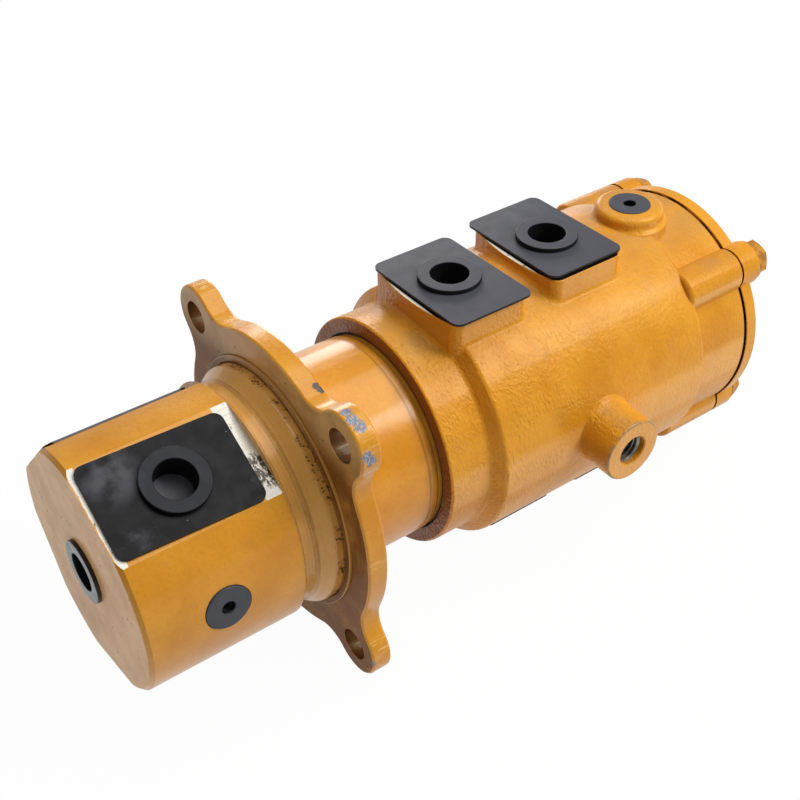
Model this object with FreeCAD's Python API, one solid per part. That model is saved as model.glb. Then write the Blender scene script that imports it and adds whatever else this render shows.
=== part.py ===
import FreeCAD, Part
import math
import os

from FreeCAD import Vector

# Hydraulic rotary union: a flanged shaft turns inside a ported housing.
# Millimetres. X is the turning axis and points from the shaft's head to the housing's cover,
# Z is up and is the way the two upper port pads face, and the origin is the centre of the
# flange's mounting face. Angles are in degrees from up, towards -Y.

# Shaft head, with four port flats and one round drain port
head_radius = 65.0
head_length = 84.0
head_back = -23.0
head_edge_chamfer = 2.0
head_edge_round = 0.8
head_flat_depth = 5.8
head_flat_angles = (26.0, -46.0, -118.0, -190.0)
head_drain_angle = 87.0
spotface_radius = 12.3
spotface_depth = 1.8

# Turned pilot between the head and the flange, and the groove round it
undercut_depth = 3.5
undercut_length = 10.0
undercut_round = 1.6
undercut_sweep = 9.0
pilot_rise = 5.0
pilot_length = 6.5
pilot_edge_round = 4.0
pilot_groove_width = 4.0
pilot_groove_depth = 1.5

# Flange with four lobes
flange_thickness = 11.5
flange_round_radius = 85.0
lobe_radius = 17.5
lobe_blend_radius = 18.0
lobe_count = 4
lobe_angle = 43.5
lobe_reach = 9.5
flange_hole_radius = 9.0
flange_edge_round = 1.5

# Journal, and the neck between it and the flange
journal_radius = 48.0
journal_edge = 1.0
shoulder_height = 8.4
neck_length = 65.7
neck_foot_round = 5.0
neck_core_rise = 8.0
neck_band_length = 9.0
neck_band_step = 0.6

# Drilled oil ways
gallery_radius = 5.5
gallery_distance = 30.0
centre_bore_radius = 5.0
cross_hole_radius = 5.0
gallery_plug_length = 8.0
drain_port_radius = 8.5
drain_port_depth = 18.0
axial_port_radius = 12.7
axial_port_depth = 22.0

# Housing, from the collar at the flange to the ring at the cover
mouth_clearance = 1.3
counterbore_clearance = 3.0
collar_wall = 6.6
collar_length = 25.3
collar_edge_round = 1.2
body_step_length = 5.0
body_rise = 7.5
ring_step = 4.5
ring_length = 39.4
cast_round = 2.5

# Port pads: large ones on top, each followed by a small one below, and the drain boss last
first_port_distance = 47.8
upper_port_pitch = 67.0
lower_port_offset = 32.0
drain_port_offset = 63.0
end_length = 36.9
pad_rise = 5.0
upper_pad_size = (45.5, 70.0)
lower_pad_size = (44.0, 65.0)
pad_bulge = 5.0
pad_corner = 6.0
pad_foot_round = 3.4
pad_edge_round = 0.8
large_port_radius = 12.7
small_port_radius = 9.5
port_depth = 17.0
large_bolt_spacing = (26.2, 52.4)
small_bolt_spacing = (22.2, 47.6)
pad_bolt_radius = 4.25
pad_bolt_depth = 15.0

# Drain boss on top and threaded stay boss on the side
drain_boss_radius = 19.5
drain_boss_rise = 6.1
drain_boss_flare = 2.4
drain_boss_edge = 3.4
stay_boss_distance = 99.8
stay_boss_radius = 18.5
stay_boss_rise = 21.2
stay_boss_flare = 6.0
stay_boss_edge = 1.2
stay_hole_radius = 8.75
stay_hole_depth = 30.0
stay_hole_chamfer = 0.6

# Bore, its oil grooves and its seal grooves
running_clearance = 0.06
oil_groove_width = 10.0
oil_groove_depth = 6.0
seal_groove_width = 6.3
seal_groove_depth = 7.0
outer_seal_distance = 15.5
lip_clearance = 0.3
slipper_thickness = 2.5
energizer_section = 2.0
seal_side_clearance = 0.2

# Thrust parts and dust seal
axial_clearance = 0.4
thrust_washer_thickness = 2.5
dust_seal_length = 4.0
dust_seal_recess = 1.2
dust_seal_lip = 0.9
fit_clearance = 0.2
thrust_plate_thickness = 8.0
thrust_bolt_count = 4
thrust_bolt_distance = 18.0
thrust_bolt_radius = 4.0
thrust_bolt_length = 20.0
thrust_bolt_head_height = 4.5
thrust_bolt_flats = 13.0
end_shelf = 5.0
end_clearance = 1.0
thrust_plate_margin = 2.0

# Cover and its bolts
cover_overhang = 1.0
cover_thickness = 9.6
cover_gap = 0.9
cover_gap_depth = 3.0
cover_spigot_length = 2.5
cover_spigot_width = 4.0
cover_dish_radius = 48.0
cover_dish_depth = 2.0
cover_dish_slope = 4.0
cover_bolt_count = 4
cover_bolt_angle = 46.0
cover_bolt_inset = 4.8
cover_lobe_radius = 13.0
cover_lobe_height = 15.0
cover_bolt_radius = 6.0
cover_bolt_depth = 22.0
cover_bolt_head_height = 7.5
cover_bolt_flats = 19.0
washer_radius = 12.0
washer_thickness = 2.0
bolt_hole_clearance = 0.5
bolt_point = 0.8
face_seal_inset = 2.4
face_seal_section = 0.9

# Plastic shipping caps and plugs
cap_thickness = 1.3
cap_corner = 5.0
cap_ring_height = 2.9
flush_cap_ring_height = 0.9
cap_bead_height = 0.9
cap_stub_depth = 14.0
cap_floor = 2.0
large_cap_width = 50.2
large_cap_length = 73.1
head_cap_length = 75.0
large_cap_ring = 17.0
large_cap_recess = 10.3
small_cap_width = 50.2
small_cap_length = 63.0
small_cap_ring = 14.5
small_cap_recess = 7.4
head_cap_shift = (-2.0, -0.4)
head_cap_twists = (-1.6, 0.8, -0.6, 1.2)
upper_cap_shifts = ((0.0, -1.8), (0.2, 2.6))
upper_cap_lean = 1.2
plug_disc_radius = 11.9
plug_disc_height = 2.0
plug_hole_radius = 3.6
plug_hole_depth = 9.0
axial_plug_radius = 16.9
axial_plug_height = 2.1
axial_plug_recess = 10.2

ORIGIN = Vector(0, 0, 0)
ALONG = Vector(1, 0, 0)
UP = Vector(0, 0, 1)

head_front = head_back - head_length
head_port_x = head_back - head_length / 2
head_flat_height = head_radius - head_flat_depth
spotface_height = head_radius - spotface_depth
undercut_radius = head_radius - undercut_depth
pilot_radius = undercut_radius + pilot_rise
flange_bolt_radius = flange_round_radius + lobe_reach

collar_face = neck_length
shoulder_x = collar_face + dust_seal_recess + dust_seal_length + fit_clearance / 2
neck_radius = journal_radius + shoulder_height
mouth_radius = neck_radius + mouth_clearance
counterbore_radius = neck_radius + counterbore_clearance
collar_radius = counterbore_radius + collar_wall
body_start = collar_face + collar_length
body_radius = collar_radius + body_rise
ring_radius = body_radius - ring_step
bore_radius = journal_radius + running_clearance

first_port_x = collar_face + first_port_distance
upper_pad_stations = (first_port_x, first_port_x + upper_port_pitch)
lower_pad_stations = tuple(x + lower_port_offset for x in upper_pad_stations)
drain_boss_x = upper_pad_stations[-1] + drain_port_offset
port_stations = sorted(upper_pad_stations + lower_pad_stations + (drain_boss_x,))
pad_height = body_radius + pad_rise
drain_boss_height = body_radius + drain_boss_rise
stay_boss_x = collar_face + stay_boss_distance
stay_boss_height = body_radius + stay_boss_rise

housing_end = drain_boss_x + end_length
ring_start = housing_end - ring_length
journal_end = housing_end - thrust_plate_thickness - thrust_bolt_head_height - end_clearance
end_cavity_radius = journal_radius + end_shelf
thrust_plate_radius = end_cavity_radius - thrust_plate_margin
face_seal_radius = end_cavity_radius + face_seal_inset
cover_radius = ring_radius + cover_overhang
cover_seat_radius = ring_radius - cover_gap_depth
cover_bolt_distance = ring_radius - cover_bolt_inset
pad_ports = ((upper_pad_stations, large_port_radius, large_bolt_spacing, 0.0),
             (lower_pad_stations, small_port_radius, small_bolt_spacing, 180.0))


def seal_stations():
    """One seal before the first oil groove, one between each two, and one after the last."""
    between = [(a + b) / 2 for a, b in zip(port_stations, port_stations[1:])]
    first = port_stations[0] - outer_seal_distance
    last = port_stations[-1] + outer_seal_distance
    return [first] + between + [last]


def rounded_wire(corners):
    """A closed outline in the XZ plane through (x, z, rounding) corners."""
    starts, middles, ends = [], [], []
    count = len(corners)
    for i, (x, z, rounding) in enumerate(corners):
        here = Vector(x, 0, z)
        to_before = (Vector(corners[i - 1][0], 0, corners[i - 1][1]) - here).normalize()
        after = corners[(i + 1) % count]
        to_after = (Vector(after[0], 0, after[1]) - here).normalize()
        if not rounding:
            starts.append(here)
            middles.append(None)
            ends.append(here)
            continue
        half = to_before.getAngle(to_after) / 2
        inward = (to_before + to_after).normalize()
        centre = here + inward * (rounding / math.sin(half))
        starts.append(here + to_before * (rounding / math.tan(half)))
        middles.append(centre - inward * rounding)
        ends.append(here + to_after * (rounding / math.tan(half)))
    edges = []
    for i in range(count):
        if middles[i] is not None:
            edges.append(Part.Arc(starts[i], middles[i], ends[i]).toShape())
        following = starts[(i + 1) % count]
        if (ends[i] - following).Length > 1e-6:
            edges.append(Part.LineSegment(ends[i], following).toShape())
    return Part.Wire(edges)


def turned(corners):
    """A solid of revolution about X; its corners are (x, radius) or (x, radius, rounding)."""
    full = [corner if len(corner) == 3 else corner + (0.0,) for corner in corners]
    return Part.Face(rounded_wire(full)).revolve(ORIGIN, ALONG, 360)


def ring(start, end, inner, outer):
    """A plain ring about X."""
    return turned([(start, inner), (start, outer), (end, outer), (end, inner)])


def at_angle(shape, angle):
    """Turns a shape that was built facing up round the X axis."""
    shape.rotate(ORIGIN, ALONG, angle)
    return shape


def upright(x, y, start, end, radius):
    """A cylinder that stands along Z."""
    return Part.makeCylinder(radius, end - start, Vector(x, y, start), UP)


def lengthways(distance, angle, start, end, radius):
    """A cylinder along X, at a distance from the axis."""
    return at_angle(Part.makeCylinder(radius, end - start, Vector(start, 0, distance), ALONG), angle)


def around(count, first=0.0):
    """Evenly spaced angles."""
    return [first + 360.0 * i / count for i in range(count)]


def flange_outline(x):
    """Round flange with lobes that flare into it, drawn at a station along X."""
    blend_distance = flange_round_radius + lobe_blend_radius
    reach = lobe_radius + lobe_blend_radius
    cosine = (blend_distance ** 2 + flange_bolt_radius ** 2 - reach ** 2)
    blend_angle = math.degrees(math.acos(cosine / (2 * blend_distance * flange_bolt_radius)))

    def polar(radius, angle):
        turn = math.radians(angle)
        return Vector(x, -radius * math.sin(turn), radius * math.cos(turn))

    def between(centre, toward, radius):
        return centre + (toward - centre).normalize() * radius

    edges = []
    pitch = 360.0 / lobe_count
    for angle in around(lobe_count, lobe_angle):
        lobe = polar(flange_bolt_radius, angle)
        sides = []
        for sign in (-1, 1):
            blend = polar(blend_distance, angle + sign * blend_angle)
            foot = polar(flange_round_radius, angle + sign * blend_angle)
            touch = between(lobe, blend, lobe_radius)
            middle = between(blend, (foot + touch) / 2, lobe_blend_radius)
            sides.append((foot, middle, touch))
        tip = polar(flange_bolt_radius + lobe_radius, angle)
        edges.append(Part.Arc(*sides[0]).toShape())
        edges.append(Part.Arc(sides[0][2], tip, sides[1][2]).toShape())
        edges.append(Part.Arc(sides[1][2], sides[1][1], sides[1][0]).toShape())
        round_end = polar(flange_round_radius, angle + pitch - blend_angle)
        round_middle = polar(flange_round_radius, angle + pitch / 2)
        edges.append(Part.Arc(sides[1][0], round_middle, round_end).toShape())
    return Part.Wire(edges)


def flange():
    """The lobed mounting flange with rounded rims and bolt holes."""
    plate = Part.Face(flange_outline(0.0)).extrude(ALONG * flange_thickness)
    rims = [edge for edge in plate.Edges
            if abs(edge.BoundBox.XLength) < 1e-6]
    plate = plate.makeFillet(flange_edge_round, rims)
    for angle in around(lobe_count, lobe_angle):
        plate = plate.cut(lengthways(flange_bolt_radius, angle, 0.0, flange_thickness,
                                     flange_hole_radius))
    groove = ring(0.0, pilot_groove_depth, pilot_radius - 1.0, pilot_radius + pilot_groove_width)
    return plate.cut(groove)


def shaft_blank():
    """Everything that is turned on the shaft: head, undercut, pilot, neck and journal."""
    head_edge = head_radius - head_edge_chamfer
    pilot_start = -pilot_length
    undercut_end = head_back + undercut_length
    band_start = shoulder_x - neck_band_length
    return turned([
        (head_front, 0.0), (head_front, head_edge), (head_front + head_edge_chamfer, head_radius),
        (head_back, head_radius, head_edge_round),
        (head_back + head_edge_round, undercut_radius, undercut_round),
        (undercut_end, undercut_radius, undercut_sweep),
        (pilot_start, pilot_radius, pilot_edge_round),
        (pilot_groove_depth, pilot_radius), (flange_thickness / 2, neck_radius + neck_core_rise),
        (flange_thickness, neck_radius + neck_foot_round),
        (flange_thickness + neck_foot_round, neck_radius + neck_band_step, neck_foot_round),
        (band_start, neck_radius + neck_band_step), (band_start, neck_radius),
        (shoulder_x, neck_radius, head_edge_round), (shoulder_x, journal_radius),
        (journal_end, journal_radius, journal_edge), (journal_end, 0.0)])


def bolt_pad_holes(x, height, spacing, turned_along):
    """Four tapped holes of a port pad; the long spacing lies along X or along Y."""
    short, long = spacing
    if turned_along:
        short, long = long, short
    holes = []
    for side_x in (-1, 1):
        for side_y in (-1, 1):
            holes.append(upright(x + side_x * short / 2, side_y * long / 2,
                                 height - pad_bolt_depth, height, pad_bolt_radius))
    return holes


def shaft():
    """The shaft with its port flats, ports, galleries and end threads."""
    body = shaft_blank().fuse(flange()).removeSplitter()
    cuts = []
    for angle, station in zip(head_flat_angles, port_stations):
        flat = Part.makeBox(head_length, 2 * head_radius, head_radius,
                            Vector(head_front, -head_radius, head_flat_height))
        cuts.append(at_angle(flat, angle))
        port = [upright(head_port_x, 0, head_flat_height - port_depth, head_flat_height,
                        large_port_radius),
                upright(head_port_x, 0, gallery_distance, head_flat_height, gallery_radius)]
        port += bolt_pad_holes(head_port_x, head_flat_height, large_bolt_spacing, True)
        port.append(upright(station, 0, gallery_distance, journal_radius + 1, cross_hole_radius))
        cuts += [at_angle(hole, angle) for hole in port]
    drain = [upright(head_port_x, 0, spotface_height, head_radius + 1, spotface_radius),
             upright(head_port_x, 0, spotface_height - drain_port_depth, head_radius,
                     drain_port_radius),
             upright(head_port_x, 0, gallery_distance, head_radius, gallery_radius),
             upright(port_stations[-1], 0, gallery_distance, journal_radius + 1, cross_hole_radius)]
    cuts += [at_angle(hole, head_drain_angle) for hole in drain]
    for angle in head_flat_angles + (head_drain_angle,):
        cuts.append(lengthways(gallery_distance, angle, head_port_x - gallery_radius, journal_end,
                               gallery_radius))
    for angle in around(thrust_bolt_count):
        cuts.append(lengthways(thrust_bolt_distance, angle, journal_end - thrust_bolt_length,
                               journal_end, thrust_bolt_radius))
    cuts.append(lengthways(0.0, 0.0, head_front, journal_end, centre_bore_radius))
    cuts.append(lengthways(0.0, 0.0, head_front, head_front + axial_port_depth, axial_port_radius))
    return body.cut(cuts)


def pad_outline(x, size, z):
    """A port pad seen from above: straight short ends and bulged long sides."""
    half_x, half_y = size[0] / 2, size[1] / 2
    corners = [Vector(x - half_x, -half_y, z), Vector(x + half_x, -half_y, z),
               Vector(x + half_x, half_y, z), Vector(x - half_x, half_y, z)]
    right = Vector(x + half_x + pad_bulge, 0, z)
    left = Vector(x - half_x - pad_bulge, 0, z)
    return Part.Wire([Part.LineSegment(corners[0], corners[1]).toShape(),
                      Part.Arc(corners[1], right, corners[2]).toShape(),
                      Part.LineSegment(corners[2], corners[3]).toShape(),
                      Part.Arc(corners[3], left, corners[0]).toShape()])


def port_pad(x, size):
    """A cast port pad that stands on the body, facing up."""
    base = body_radius / 2
    pad = Part.Face(pad_outline(x, size, base)).extrude(UP * (pad_height - base))
    posts = [edge for edge in pad.Edges
             if edge.BoundBox.ZLength > 1.0]
    pad = pad.makeFillet(pad_corner, posts)
    rim = [edge for edge in pad.Edges
           if edge.BoundBox.ZMin > pad_height - 0.01]
    return pad.makeFillet(pad_edge_round, rim)


def shared_edges(whole, first, second):
    """Edges of a fused solid that lie where its two halves meet."""
    found = []
    for edge in whole.Edges:
        corners = [Part.Vertex(point) for point in edge.discretize(5)]
        gaps = [max(corner.distToShape(first)[0], corner.distToShape(second)[0])
                for corner in corners]
        if max(gaps) < 0.01:
            found.append(edge)
    return found


def flared_boss(x, radius, height, flare, edge):
    """A round boss that faces up, with a flared foot and a rounded rim."""
    foot = body_radius - flare
    outline = rounded_wire([
        (0.0, bore_radius + seal_groove_depth, 0.0),
        (radius + flare, bore_radius + seal_groove_depth, 0.0),
        (radius + flare, foot, 0.0), (radius, foot + flare, flare),
        (radius, height, edge), (0.0, height, 0.0)])
    boss = Part.Face(outline).revolve(ORIGIN, UP, 360)
    boss.translate(Vector(x, 0, 0))
    return boss


def housing_blank():
    """The cast outside of the housing."""
    step_end = body_start + body_step_length
    core = turned([
        (collar_face, 0.0), (collar_face, collar_radius, collar_edge_round),
        (body_start, collar_radius, cast_round),
        (step_end, body_radius, cast_round), (ring_start, body_radius, cast_round),
        (ring_start + cast_round, ring_radius, cast_round), (housing_end, ring_radius, 0.8),
        (housing_end, 0.0)])
    core = at_angle(core, cover_bolt_angle)
    for stations, size, angle in ((upper_pad_stations, upper_pad_size, 0.0),
                                  (lower_pad_stations, lower_pad_size, 180.0)):
        core = at_angle(core, -angle)
        for x in stations:
            pad = port_pad(x, size)
            joined = core.fuse(pad)
            core = joined.makeFillet(pad_foot_round, shared_edges(joined, core, pad))
        core = at_angle(core, angle)
    drain_boss = flared_boss(drain_boss_x, drain_boss_radius, drain_boss_height,
                             drain_boss_flare, drain_boss_edge)
    stay_boss = flared_boss(stay_boss_x, stay_boss_radius, stay_boss_height,
                            stay_boss_flare, stay_boss_edge)
    core = core.fuse(drain_boss).fuse(at_angle(stay_boss, 90.0))
    for angle in around(cover_bolt_count, cover_bolt_angle):
        post = turned([(ring_start - cast_round, 0.0), (ring_start - cast_round, cover_lobe_radius, 3.0),
                       (housing_end, cover_lobe_radius, 0.8), (housing_end, 0.0)])
        post.translate(Vector(0, 0, cover_bolt_distance))
        core = core.fuse(at_angle(post, angle))
    return core


def housing_bore():
    """The stepped bore with its oil and seal grooves, as the solid that is cut away."""
    shoulder = shoulder_x + axial_clearance + thrust_washer_thickness
    end_shoulder = journal_end - axial_clearance - thrust_washer_thickness
    mouth_end = collar_face + dust_seal_recess
    corners = [(collar_face - 1.0, 0.0), (collar_face - 1.0, mouth_radius),
               (mouth_end, mouth_radius), (mouth_end, counterbore_radius),
               (shoulder, counterbore_radius), (shoulder, bore_radius)]
    grooves = [(x, oil_groove_width, oil_groove_depth) for x in port_stations]
    grooves += [(x, seal_groove_width, seal_groove_depth) for x in seal_stations()]
    for x, width, depth in sorted(grooves):
        corners += [(x - width / 2, bore_radius), (x - width / 2, journal_radius + depth),
                    (x + width / 2, journal_radius + depth), (x + width / 2, bore_radius)]
    corners += [(end_shoulder, bore_radius), (end_shoulder, end_cavity_radius),
                (housing_end + 1.0, end_cavity_radius), (housing_end + 1.0, 0.0)]
    return turned(corners)


def housing():
    """The ported housing."""
    cuts = [housing_bore()]
    for stations, radius, spacing, angle in pad_ports:
        for x in stations:
            port = [upright(x, 0, pad_height - port_depth, pad_height, radius),
                    upright(x, 0, journal_radius, pad_height, cross_hole_radius)]
            port += bolt_pad_holes(x, pad_height, spacing, False)
            cuts += [at_angle(hole, angle) for hole in port]
    cuts.append(upright(drain_boss_x, 0, drain_boss_height - drain_port_depth, drain_boss_height,
                        drain_port_radius))
    cuts.append(upright(drain_boss_x, 0, journal_radius, drain_boss_height, cross_hole_radius))
    cuts.append(at_angle(upright(stay_boss_x, 0, stay_boss_height - stay_hole_depth,
                                 stay_boss_height, stay_hole_radius), 90.0))
    chamfer = Part.makeCone(stay_hole_radius, stay_hole_radius + stay_hole_chamfer,
                            stay_hole_chamfer,
                            Vector(stay_boss_x, 0, stay_boss_height - stay_hole_chamfer), UP)
    cuts.append(at_angle(chamfer, 90.0))
    for angle in around(cover_bolt_count, cover_bolt_angle):
        cuts.append(lengthways(cover_bolt_distance, angle, housing_end - cover_bolt_depth,
                               housing_end, cover_bolt_radius))
    face_groove = ring(housing_end - 2 * face_seal_section, housing_end,
                       face_seal_radius - face_seal_section - 0.2,
                       face_seal_radius + face_seal_section + 0.2)
    cuts.append(face_groove)
    return housing_blank().cut(cuts)


def cover():
    """The end cover with its bolt lobes, seat and dish."""
    outer_face = housing_end + cover_thickness
    rim_face = housing_end + cover_gap
    disc = turned([
        (housing_end, 0.0), (housing_end, cover_seat_radius), (rim_face, cover_seat_radius),
        (rim_face, cover_radius, 0.4), (outer_face, cover_radius, 2.0),
        (outer_face, cover_dish_radius),
        (outer_face - cover_dish_depth, cover_dish_radius - cover_dish_slope),
        (outer_face - cover_dish_depth, 0.0)])
    for angle in around(cover_bolt_count, cover_bolt_angle):
        lobe = turned([(rim_face, 0.0), (rim_face, cover_lobe_radius),
                       (housing_end + cover_lobe_height, cover_lobe_radius, 1.5),
                       (housing_end + cover_lobe_height, 0.0)])
        lobe.translate(Vector(0, 0, cover_bolt_distance))
        disc = disc.fuse(at_angle(lobe, angle))
    spigot = ring(housing_end - cover_spigot_length, housing_end,
                  end_cavity_radius - cover_spigot_width, end_cavity_radius - fit_clearance)
    disc = disc.fuse(spigot)
    holes = [lengthways(cover_bolt_distance, angle, housing_end,
                        housing_end + cover_lobe_height, cover_bolt_radius + bolt_hole_clearance)
             for angle in around(cover_bolt_count, cover_bolt_angle)]
    return disc.cut(holes).removeSplitter()


def hexagon_head(start, height, across_flats):
    """A chamfered hexagon head on the X axis."""
    corner = across_flats / math.sqrt(3)
    points = [Vector(start, corner * math.cos(math.radians(a)), corner * math.sin(math.radians(a)))
              for a in around(6, 30.0)]
    prism = Part.Face(Part.makePolygon(points + points[:1])).extrude(ALONG * height)
    dome = turned([(start, 0.0), (start, corner), (start + height * 0.85, corner),
                   (start + height, across_flats / 2 * 0.96), (start + height, 0.0)])
    return prism.common(dome)


def hex_bolt(seat, length, radius, head_height, across_flats):
    """A hexagon bolt whose head bears on a seat and whose shank points to -X."""
    shank = turned([(seat - length, 0.0), (seat - length, radius - bolt_point),
                    (seat - length + bolt_point, radius), (seat, radius), (seat, 0.0)])
    return shank.fuse(hexagon_head(seat, head_height, across_flats)).removeSplitter()


def cover_bolts():
    """Bolts of the end cover."""
    seat = housing_end + cover_lobe_height + washer_thickness
    length = cover_lobe_height + washer_thickness + cover_bolt_depth - 3.0
    bolts = []
    for angle in around(cover_bolt_count, cover_bolt_angle):
        bolt = hex_bolt(seat, length, cover_bolt_radius, cover_bolt_head_height, cover_bolt_flats)
        bolt.translate(Vector(0, 0, cover_bolt_distance))
        bolts.append(at_angle(bolt, angle))
    return Part.Compound(bolts)


def cover_washers():
    """Spring washers under the cover bolts."""
    seat = housing_end + cover_lobe_height
    washers = []
    for angle in around(cover_bolt_count, cover_bolt_angle):
        washer = ring(seat, seat + washer_thickness, cover_bolt_radius + fit_clearance,
                      washer_radius)
        washer.translate(Vector(0, 0, cover_bolt_distance))
        washers.append(at_angle(washer, angle))
    return Part.Compound(washers)


def cover_o_ring():
    """The face seal between cover and housing."""
    return Part.makeTorus(face_seal_radius, face_seal_section,
                          Vector(housing_end - face_seal_section, 0, 0), ALONG)


def thrust_plate():
    """The plate that holds the shaft in the housing."""
    plate = turned([
        (journal_end, centre_bore_radius + 2.0), (journal_end, thrust_plate_radius, 0.8),
        (journal_end + thrust_plate_thickness, thrust_plate_radius, 0.8),
        (journal_end + thrust_plate_thickness, centre_bore_radius + 2.0)])
    holes = [lengthways(thrust_bolt_distance, angle, journal_end,
                        journal_end + thrust_plate_thickness,
                        thrust_bolt_radius + bolt_hole_clearance)
             for angle in around(thrust_bolt_count)]
    return plate.cut(holes)


def thrust_plate_bolts():
    """Bolts of the thrust plate."""
    seat = journal_end + thrust_plate_thickness
    length = thrust_plate_thickness + thrust_bolt_length - 2.0
    bolts = []
    for angle in around(thrust_bolt_count):
        bolt = hex_bolt(seat, length, thrust_bolt_radius, thrust_bolt_head_height,
                        thrust_bolt_flats)
        bolt.translate(Vector(0, 0, thrust_bolt_distance))
        bolts.append(at_angle(bolt, angle))
    return Part.Compound(bolts)


def gallery_plugs():
    """Plugs that close the drilled galleries at the end of the journal."""
    return Part.Compound([lengthways(gallery_distance, angle, journal_end - gallery_plug_length,
                                     journal_end, gallery_radius)
                          for angle in head_flat_angles + (head_drain_angle,)])


def slipper_seals():
    """Hard seal rings that bear on the journal."""
    inner = journal_radius + lip_clearance
    half = seal_groove_width / 2 - seal_side_clearance
    return Part.Compound([turned([(x - half, inner), (x - half, inner + slipper_thickness, 0.4),
                                  (x + half, inner + slipper_thickness, 0.4), (x + half, inner)])
                          for x in seal_stations()])


def seal_energizers():
    """Rubber rings that press the slipper seals onto the journal."""
    distance = journal_radius + lip_clearance + slipper_thickness + energizer_section
    return Part.Compound([Part.makeTorus(distance, energizer_section, Vector(x, 0, 0), ALONG)
                          for x in seal_stations()])


def dust_seal():
    """The rubber lip seal in the mouth of the collar."""
    start = collar_face + dust_seal_recess
    end = start + dust_seal_length
    inner = neck_radius + lip_clearance
    outer = counterbore_radius - fit_clearance / 2
    return turned([(start, outer), (start, inner + dust_seal_lip),
                   (start - dust_seal_lip, inner), (end, inner), (end, outer)])


def front_thrust_washer():
    """Bronze washer between the shaft's shoulder and the housing."""
    start = shoulder_x + axial_clearance
    return ring(start, start + thrust_washer_thickness, journal_radius + lip_clearance,
                counterbore_radius - fit_clearance)


def rear_thrust_washer():
    """Bronze washer between the thrust plate and the housing."""
    end = journal_end - axial_clearance
    return ring(end - thrust_washer_thickness, end, journal_radius + lip_clearance,
                end_cavity_radius - fit_clearance)


def cap_plate(x, floor, size, shift=(0.0, 0.0)):
    """The flat plate of a cap that faces up; it may sit off the port's centre."""
    along, across = size
    plate = Part.makeBox(along, across, cap_thickness,
                         Vector(x + shift[0] - along / 2, shift[1] - across / 2, floor))
    posts = [edge for edge in plate.Edges
             if edge.BoundBox.ZLength > cap_thickness / 2]
    return plate.makeFillet(cap_corner, posts)


def port_cap(plate, x, height, ring_top, ring_radius_out, recess_radius, port_radius):
    """A plastic port cap that faces up: its plate, a ring and a hollow stub in the port."""
    stub_end = height - cap_stub_depth
    outline = rounded_wire([
        (0.0, stub_end, 0.0), (port_radius - fit_clearance, stub_end, 1.0),
        (port_radius - fit_clearance, height, 0.0), (ring_radius_out, height, 0.0),
        (ring_radius_out, ring_top, 0.5), (recess_radius, ring_top, 0.5),
        (recess_radius, stub_end + cap_floor, 0.0), (0.0, stub_end + cap_floor, 0.0)])
    core = Part.Face(outline).revolve(ORIGIN, UP, 360)
    core.translate(Vector(x, 0, 0))
    hole = upright(x, 0, height, ring_top, (ring_radius_out + recess_radius) / 2)
    return plate.cut(hole).fuse(core).removeSplitter()


def round_plug(seat, disc_radius, disc_height, port_radius, recess_radius, recess_depth):
    """A round plug that faces up, on the Z axis: disc, stub and a hole in its middle."""
    top = seat + disc_height
    stub_end = top - recess_depth - cap_floor
    outline = rounded_wire([
        (0.0, stub_end, 0.0), (port_radius - fit_clearance, stub_end, 1.0),
        (port_radius - fit_clearance, seat, 0.0), (disc_radius, seat, 0.0),
        (disc_radius, top, 0.5), (recess_radius, top, 0.4),
        (recess_radius, top - recess_depth, 0.0), (0.0, top - recess_depth, 0.0)])
    return Part.Face(outline).revolve(ORIGIN, UP, 360)


def drain_boss_plug():
    """Plug in the boss on top of the housing, let flush into its mouth."""
    plug = round_plug(drain_boss_height, plug_disc_radius, plug_disc_height / 4, drain_port_radius,
                      plug_hole_radius, plug_hole_depth)
    plug.translate(Vector(drain_boss_x, 0, 0))
    return plug


def head_drain_plug():
    """Plug in the round port of the shaft's head."""
    plug = round_plug(spotface_height, plug_disc_radius, plug_disc_height, drain_port_radius,
                      plug_hole_radius, plug_hole_depth)
    plug.translate(Vector(head_port_x, 0, 0))
    return at_angle(plug, head_drain_angle)


def axial_port_plug():
    """Plug in the port on the shaft's end face."""
    plug = round_plug(0.0, axial_plug_radius, axial_plug_height, axial_port_radius,
                      axial_plug_recess, cap_stub_depth)
    plug.rotate(ORIGIN, Vector(0, 1, 0), -90)
    plug.translate(Vector(head_front, 0, 0))
    return plug


def port_caps():
    """All rectangular caps by node name."""
    caps = {}
    letters = "abcd"
    pad_floor = pad_height + cap_bead_height
    pad_ring_top = pad_floor + cap_thickness + cap_ring_height
    for letter, x, shift in zip(letters, upper_pad_stations, upper_cap_shifts):
        plate = cap_plate(x, pad_floor, (large_cap_width, large_cap_length), shift)
        plate.rotate(Vector(x, 0, pad_floor), ALONG, -upper_cap_lean)
        caps["upper_port_cap_" + letter] = port_cap(
            plate, x, pad_height, pad_ring_top, large_cap_ring, large_cap_recess, large_port_radius)
    for letter, x in zip(letters, lower_pad_stations):
        plate = cap_plate(x, pad_floor, (small_cap_width, small_cap_length))
        cap = port_cap(plate, x, pad_height, pad_ring_top, small_cap_ring, small_cap_recess,
                       small_port_radius)
        caps["lower_port_cap_" + letter] = at_angle(cap, 180.0)
    for letter, angle, twist in zip(letters, head_flat_angles, head_cap_twists):
        plate = cap_plate(head_port_x, head_flat_height, (head_cap_length, large_cap_width),
                          head_cap_shift)
        plate.rotate(Vector(head_port_x, 0, 0), UP, twist)
        ring_height = flush_cap_ring_height if letter == "b" else cap_ring_height
        ring_top = head_flat_height + cap_thickness + ring_height
        cap = port_cap(plate, head_port_x, head_flat_height, ring_top, large_cap_ring,
                       large_cap_recess, large_port_radius)
        caps["head_port_cap_" + letter] = at_angle(cap, angle)
    return caps


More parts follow.
